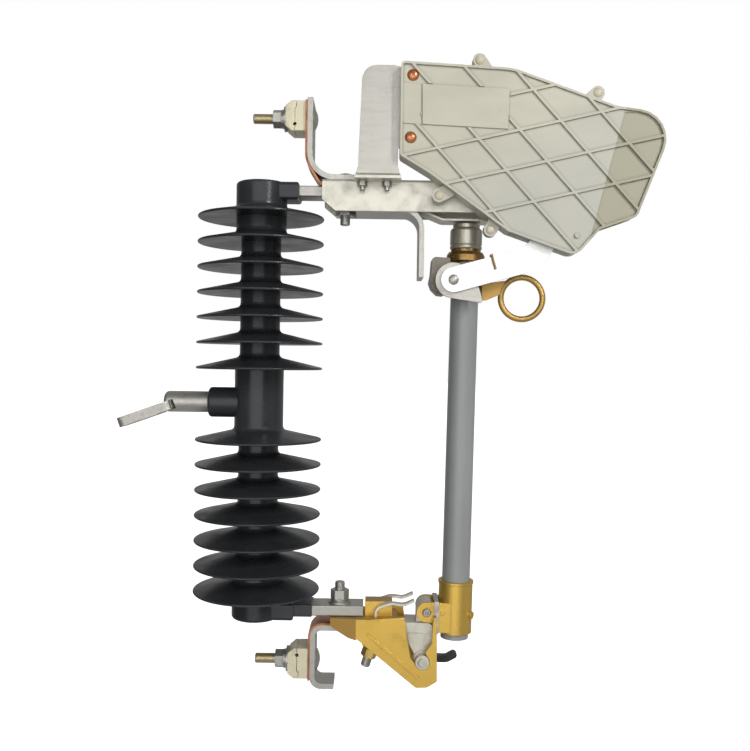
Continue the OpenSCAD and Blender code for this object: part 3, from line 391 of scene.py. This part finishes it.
def streaked_cap(look):
    """Plated brass of the contact cap, with tan and grey streaks that run down it."""
    new = Finish("streaked_cap")
    streak = new.fade(new.noise(170, 4, new.stretched(1, 1, 0.1), rough=0.65), 0.4, 0.66)
    cloud = new.fade(new.noise(90, 5), 0.45, 0.75)
    knurl = new.noise(1500, 1, new.stretched(1, 1, 0.02))
    rounded, edge_highlight_and_wear = new.soft_edge(0.0006)
    tone = new.mix(streak * 0.6, look, (look[0] * 0.66, look[1] * 0.57, look[2] * 0.44))
    tone = new.mix(cloud * 0.3, tone, shade(look, 0.6))
    # Edges lighter: partly wear, partly painted highlight
    tone = new.mix(edge_highlight_and_wear * 0.5, tone, shade(look, 1.3))
    new.set(Base_Color=tone, Roughness=streak * 0.12 + 0.3, Normal=new.relief(knurl, 0.0001, rounded))
    return new.set(Metallic=0.7)


def hinge_bronze(look):
    """Cast bronze of the hinge, with painted shade on its upward faces and on the neck where it draws in.
    """
    new = Finish("hinge_bronze")
    height, pits, stain = sand_skin(new)
    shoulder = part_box("hinge_casting")[0][0] + NECK
    neck = new.fade(new.along("X"), shoulder, shoulder - 0.0012)
    top_shade = new.fade(new.upward(), 0.5, 0.9)
    rounded, edge_highlight_and_wear = new.soft_edge(0.0008)
    tone = new.mix(stain * 0.45, look, shade(look, 0.6))
    # Painted shade: the neck darker brown, as if it faced away from the light
    tone = new.mix(neck * 0.8, tone, (look[0] * 0.42, look[1] * 0.36, look[2] * 0.5))
    # Painted shade: faces turned upward darker and greyer
    tone = new.mix(top_shade * 0.7, tone, (look[0] * 0.5, look[1] * 0.46, look[2] * 0.7))
    tone = new.mix(pits * 0.6, tone, shade(look, 0.3))
    # Edges lighter: partly wear, partly painted highlight
    tone = new.mix(edge_highlight_and_wear * 0.6, tone, shade(look, 1.35))
    gloss = stain * 0.16 + pits * 0.2 - edge_highlight_and_wear * 0.1 + 0.38
    new.set(Base_Color=tone, Roughness=gloss, Normal=new.relief(height, 0.0003, rounded))
    return new.set(Metallic=0.75)


def chute_corner():
    """The chute's own origin in X and Z, found from its box."""
    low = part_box("chute_front_shell")[0]
    return low[0], low[2] + CHUTE_DROP


def colour(title, red, green, blue, words):
    return bpy.props.FloatVectorProperty(name=title, description=words, subtype="COLOR", size=3,
                                         min=0, max=1, default=(red, green, blue))


def length(title, default, words):
    return bpy.props.FloatProperty(name=title, description=words, default=default, min=0,
                                   unit="LENGTH", subtype="DISTANCE", precision=5)


class CutoutFinishes(bpy.types.PropertyGroup):
    """Colours of the cutout's finishes."""

    rubber: colour("Rubber", 0.031, 0.033, 0.036, "Moulded rubber of the insulator")
    zinc: colour("Zinc", 0.455, 0.445, 0.405, "Galvanised bars, channel, bolts and nuts")
    tin: colour("Tin", 0.62, 0.6, 0.52, "Plated connectors and contacts")
    bronze: colour("Bronze", 0.69, 0.45, 0.095, "Cast hinge and ring")
    ring: colour("Ring bronze", 0.50, 0.31, 0.09, "Cast pull ring")
    pale_bronze: colour("Pale bronze", 0.17, 0.15, 0.125, "Cast upper casting of the holder")
    ivory: colour("Ivory plate", 0.66, 0.61, 0.44, "Plated line connectors")
    blade: colour("Blade", 0.86, 0.86, 0.83, "Plate of the load-break blade")
    brass: colour("Brass", 0.31, 0.19, 0.065, "Turned ferrule and terminals")
    chute: colour("Chute", 0.56, 0.54, 0.435, "Moulded chute shells")
    nylon: colour("Nylon", 0.72, 0.64, 0.48, "Moulded nylon pieces")
    copper: colour("Copper", 0.42, 0.17, 0.08, "Copper strips and rivets")
    tube: colour("Tube", 0.29, 0.3, 0.3, "Paint of the fuse tube")
    yellow: colour("Yellow zinc", 0.66, 0.47, 0.14, "Passivated fasteners")
    spring: colour("Spring steel", 0.48, 0.46, 0.42, "Springs and contact leaves")
    dark: colour("Dark steel", 0.05, 0.05, 0.05, "Dark springs and the flipper")


class CutoutHardware(bpy.types.PropertyGroup):
    """Sizes of the small hardware."""

    pitch: length("Thread pitch", 0.0016, "Rise of one turn of a bolt's thread")
    crest: length("Thread crest", 0.00035, "How far the thread stands above the plain bolt")


class CutoutStage(bpy.types.PropertyGroup):
    """The floor and the light."""

    drop: length("Floor drop", 0.03, "Room under the holder when it hangs open")
    front: bpy.props.FloatProperty(name="Front light", description="Strength of the broad front lamp",
                                   default=46, min=0, unit="POWER")
    strip: bpy.props.FloatProperty(name="Strip light", description="Strength of the narrow side lamp",
                                   default=30, min=0, unit="POWER")


def alone():
    """Clears the selection."""
    bpy.ops.object.select_all(action="DESELECT")


def keep(piece, name, slot):
    """Names a finished piece of the fixed hardware and gives it its finish."""
    piece.name = piece.data.name = name
    piece.data.materials.clear()
    piece.data.materials.append(finishes[slot])
    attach(piece, "frame")
    return piece


# The finishes by their slots, filled by the first step
finishes = {}


class CUTOUT_OT_finish_nodes(bpy.types.Operator):
    """Make the finishes and put them on the cutout's solids"""

    bl_idname = "cutout.finish_nodes"
    bl_label = "Finish the solids"

    def execute(self, context):
        look = context.scene.cutout_finishes
        finishes.update(
            grey_rubber=rubber(tuple(look.rubber)),
            galvanised=galvanised(tuple(look.zinc)),
            tinned=tinned(tuple(look.tin)),
            cast_bronze=cast_bronze(tuple(look.bronze), "cast_bronze"),
            cast_bronze_pale=cast_bronze(tuple(look.pale_bronze), "cast_bronze_pale", 0.6),
            turned_brass=turned_brass(tuple(look.brass)),
            chute_plastic=chute_plastic(tuple(look.chute), chute_corner()),
            nylon=nylon(tuple(look.nylon)),
            copper=copper(tuple(look.copper)),
            tube_fibre=painted_tube(tuple(look.tube)),
            yellow_zinc=steel(tuple(look.yellow), "yellow_zinc", 0.28),
            spring_steel=steel(tuple(look.spring), "spring_steel", 0.2),
            dark_steel=steel(tuple(look.dark), "dark_steel", 0.35),
        )
        ivory = cast_bronze(tuple(look.ivory), "ivory_plate", 0.35)
        special = {"load_break_blade": blade_plate(tuple(look.blade), shade(look.brass, 0.8)),
                   "contact_cap": streaked_cap(shade(look.tin, 0.76)),
                   "hinge_casting": hinge_bronze(tuple(look.bronze)),
                   "hinge_nut": finishes["yellow_zinc"],
                   "pull_ring": cast_bronze(tuple(look.ring), "ring_bronze"),
                   "chute_rivets": copper(shade(look.copper, 1.5), "bright_copper"),
                   "top_connector_base": ivory, "top_connector_keeper": ivory,
                   "bottom_connector_base": ivory, "bottom_connector_keeper": ivory}
        for row in frame["record"]["subparts"]:
            solid = frame["nodes"][row["node"]]
            solid.data.materials.clear()
            solid.data.materials.append(special.get(row["node"]) or finishes[row["material_slot"]])
        return {"FINISHED"}


class CUTOUT_OT_threads(bpy.types.Operator):
    """Lay the threads on the free ends of the bolts"""

    bl_idname = "cutout.threads"
    bl_label = "Threads"

    def execute(self, context):
        size = context.scene.cutout_hardware
        slant = Vector((-math.sin(HINGE_SLANT), 0, -math.cos(HINGE_SLANT)))
        for bolt, nut, slot, radius, way in (
            ("channel_bolt", "channel_nut", "galvanised", MAIN_RADIUS, -Z),
            ("top_connector_bolt", "top_connector_nut", "yellow_zinc", MAIN_RADIUS, -X),
            ("bottom_connector_bolt", "bottom_connector_nut", "yellow_zinc", MAIN_RADIUS, -X),
            ("bottom_bolt", "bottom_nut", "galvanised", MAIN_RADIUS, Z),
            ("hinge_bolt", "hinge_nut", "galvanised", HINGE_RADIUS, slant),
        ):
            tip, face = self.end(bolt, way), self.end(nut, way)
            low, high = (Vector(corner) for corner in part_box(nut))
            centre = (low + high) / 2
            start = centre + way * (face - centre.dot(way))
            self.thread(bolt + "_thread", start, way, tip - face, radius, size, slot)
        return {"FINISHED"}

    def end(self, node, way):
        """How far a solid reaches along a direction."""
        return max(point.co.dot(way) for point in frame["nodes"][node].data.vertices)

    def thread(self, name, start, way, run, radius, size, slot):
        """One helix of thread, from a nut's face to a bolt's end."""
        alone()
        turns = int(run / size.pitch) - 1
        if turns < 1:
            return
        bpy.ops.mesh.primitive_circle_add(vertices=3, radius=size.crest * THREAD_SECTION,
                                          enter_editmode=True, location=(0, 0, 0))
        bpy.ops.mesh.select_all(action="SELECT")
        bpy.ops.transform.rotate(value=math.radians(90), orient_axis="X", center_override=(0, 0, 0))
        bpy.ops.transform.rotate(value=math.radians(-90), orient_axis="Y", center_override=(0, 0, 0))
        middle = radius - size.crest * THREAD_DEPTH
        bpy.ops.transform.translate(value=(middle, 0, size.pitch * THREAD_START))
        bpy.ops.object.mode_set(mode="OBJECT")
        helix = bpy.context.object
        screw = helix.modifiers.new("thread", "SCREW")
        screw.screw_offset = size.pitch
        screw.iterations = turns
        screw.steps = screw.render_steps = THREAD_STEPS
        bpy.ops.object.modifier_apply(modifier="thread")
        bpy.ops.object.mode_set(mode="EDIT")
        bpy.ops.mesh.select_all(action="SELECT")
        bpy.ops.mesh.remove_doubles(threshold=1e-6)
        bpy.ops.mesh.fill_holes(sides=4)
        bpy.ops.mesh.select_all(action="SELECT")
        bpy.ops.mesh.normals_make_consistent(inside=False)
        bpy.ops.object.mode_set(mode="OBJECT")
        turn = Z.rotation_difference(way).to_matrix().to_4x4()
        helix.data.transform(Matrix.Translation(start) @ turn)
        bpy.ops.object.shade_smooth_by_angle(angle=math.radians(40))
        keep(helix, name, slot)


class CUTOUT_OT_stage(bpy.types.Operator):
    """Set the floor, the light and the camera"""

    bl_idname = "cutout.stage"
    bl_label = "Stage"

    def execute(self, context):
        stage = context.scene.cutout_stage
        self.floor(stage)
        self.lamp("front", FRONT_PLACE, FRONT_SIZE, stage.front)
        self.lamp("strip", STRIP_PLACE, STRIP_SIZE, stage.strip)
        context.scene.world = self.surroundings()
        context.scene.view_settings.view_transform = "Standard"
        camera = bpy.data.cameras.new("camera")
        camera.sensor_width = 36
        camera.lens = CAMERA_LENS
        camera.sensor_fit = "HORIZONTAL"
        camera.shift_y = CAMERA_SHIFT
        holder = bpy.data.objects.new("camera", camera)
        holder.location = CAMERA_PLACE
        holder.rotation_mode = "QUATERNION"
        aim = Matrix.Rotation(math.radians(90), 4, "X") @ Matrix.Rotation(CAMERA_ROLL, 4, "Z")
        holder.rotation_quaternion = aim.to_quaternion()
        context.scene.collection.objects.link(holder)
        context.scene.camera = holder
        return {"FINISHED"}

    def floor(self, stage):
        """A wide pale floor, below the holder when it hangs open."""
        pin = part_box("trunnion_casting")[0][2]
        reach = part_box("contact_cap")[1][2] - pin
        alone()
        bpy.ops.mesh.primitive_circle_add(vertices=96, radius=FLOOR_RADIUS, fill_type="NGON",
                                          location=(0, 0, pin - reach - stage.drop))
        floor = bpy.context.object
        floor.name = "floor"
        bpy.ops.object.transform_apply(location=True)
        pale = Finish("pale_floor")
        tone = pale.mix(pale.fade(pale.noise(3, 3), 0.3, 0.7), (0.93, 0.93, 0.93), (0.97, 0.97, 0.97))
        pale.set(Base_Color=tone, Roughness=0.9, Emission_Color=(1, 1, 1), Emission_Strength=1.0)
        floor.data.materials.append(pale.material)
        floor.visible_diffuse = floor.visible_glossy = False

    def surroundings(self):
        """White to the camera; to all else a dim room, lit at the back, above, below and at the right."""
        world = bpy.data.worlds.new("studio")
        world.use_nodes = True
        nodes, links = world.node_tree.nodes, world.node_tree.links

        def node(kind, **sockets):
            made = nodes.new("ShaderNode" + kind)
            for name, value in sockets.items():
                socket = made.inputs[name.replace("_", " ")]
                if isinstance(value, bpy.types.NodeSocket):
                    links.new(value, socket)
                else:
                    socket.default_value = value
            return made

        def glow(direction, low, high, level):
            near = node("MapRange", Value=direction, From_Min=low, From_Max=high, To_Max=level)
            near.interpolation_type = "SMOOTHSTEP"
            return near.outputs[0]

        way = node("SeparateXYZ", Vector=node("TexCoord").outputs["Generated"])
        parts = (glow(way.outputs["Y"], 0.3, 0.85, 0.26), glow(way.outputs["Z"], 0.35, 0.95, 0.12),
                 glow(way.outputs["Z"], -0.3, -0.9, 0.35), glow(way.outputs["X"], 0.6, 0.95, 0.25))
        total = None
        for part in parts:
            sum_node = nodes.new("ShaderNodeMath")
            links.new(part, sum_node.inputs[0])
            if total:
                links.new(total, sum_node.inputs[1])
            else:
                sum_node.inputs[1].default_value = ROOM_LEVEL
            total = sum_node.outputs[0]
        room = node("Background", Color=total)
        white = node("Background", Color=(1, 1, 1, 1))
        seen = node("LightPath").outputs["Is Camera Ray"]
        share = nodes.new("ShaderNodeMixShader")
        for place, value in enumerate((seen, room.outputs[0], white.outputs[0])):
            links.new(value, share.inputs[place])
        links.new(share.outputs[0], nodes["World Output"].inputs["Surface"])
        return world

    def lamp(self, name, place, size, power):
        """A soft oblong lamp that faces the middle of the cutout."""
        light = bpy.data.lights.new(name, "AREA")
        light.shape = "RECTANGLE"
        light.size, light.size_y = size
        light.energy = power
        lamp = bpy.data.objects.new(name, light)
        lamp.location = place
        way = (Vector(cad_box[0]) + Vector(cad_box[1])) / 2 - Vector(place)
        lamp.rotation_euler = way.to_track_quat("-Z", "Y").to_euler()
        bpy.context.scene.collection.objects.link(lamp)


class CUTOUT_PT_panel(bpy.types.Panel):
    """The cutout's steps in the sidebar"""

    bl_label = "Fuse cutout"
    bl_idname = "CUTOUT_PT_panel"
    bl_space_type = "VIEW_3D"
    bl_region_type = "UI"
    bl_category = "Cutout"

    def draw(self, context):
        layout = self.layout
        for group in ("cutout_finishes", "cutout_hardware", "cutout_stage"):
            settings = getattr(context.scene, group)
            box = layout.box()
            for name in settings.__annotations__:
                box.prop(settings, name)
        for step in STEPS:
            layout.operator(step.bl_idname)


STEPS = (CUTOUT_OT_finish_nodes, CUTOUT_OT_threads, CUTOUT_OT_stage)
GROUPS = {"cutout_finishes": CutoutFinishes, "cutout_hardware": CutoutHardware,
          "cutout_stage": CutoutStage}


def register():
    for group, kind in GROUPS.items():
        bpy.utils.register_class(kind)
        setattr(bpy.types.Scene, group, bpy.props.PointerProperty(type=kind))
    for kind in (*STEPS, CUTOUT_PT_panel):
        bpy.utils.register_class(kind)


def unregister():
    for kind in (*STEPS, CUTOUT_PT_panel):
        bpy.utils.unregister_class(kind)
    for group, kind in GROUPS.items():
        delattr(bpy.types.Scene, group)
        bpy.utils.unregister_class(kind)


def main():
    register()
    for step in STEPS:
        family, name = step.bl_idname.split(".")
        getattr(getattr(bpy.ops, family), name)()


if __name__ == "__main__":
    main()
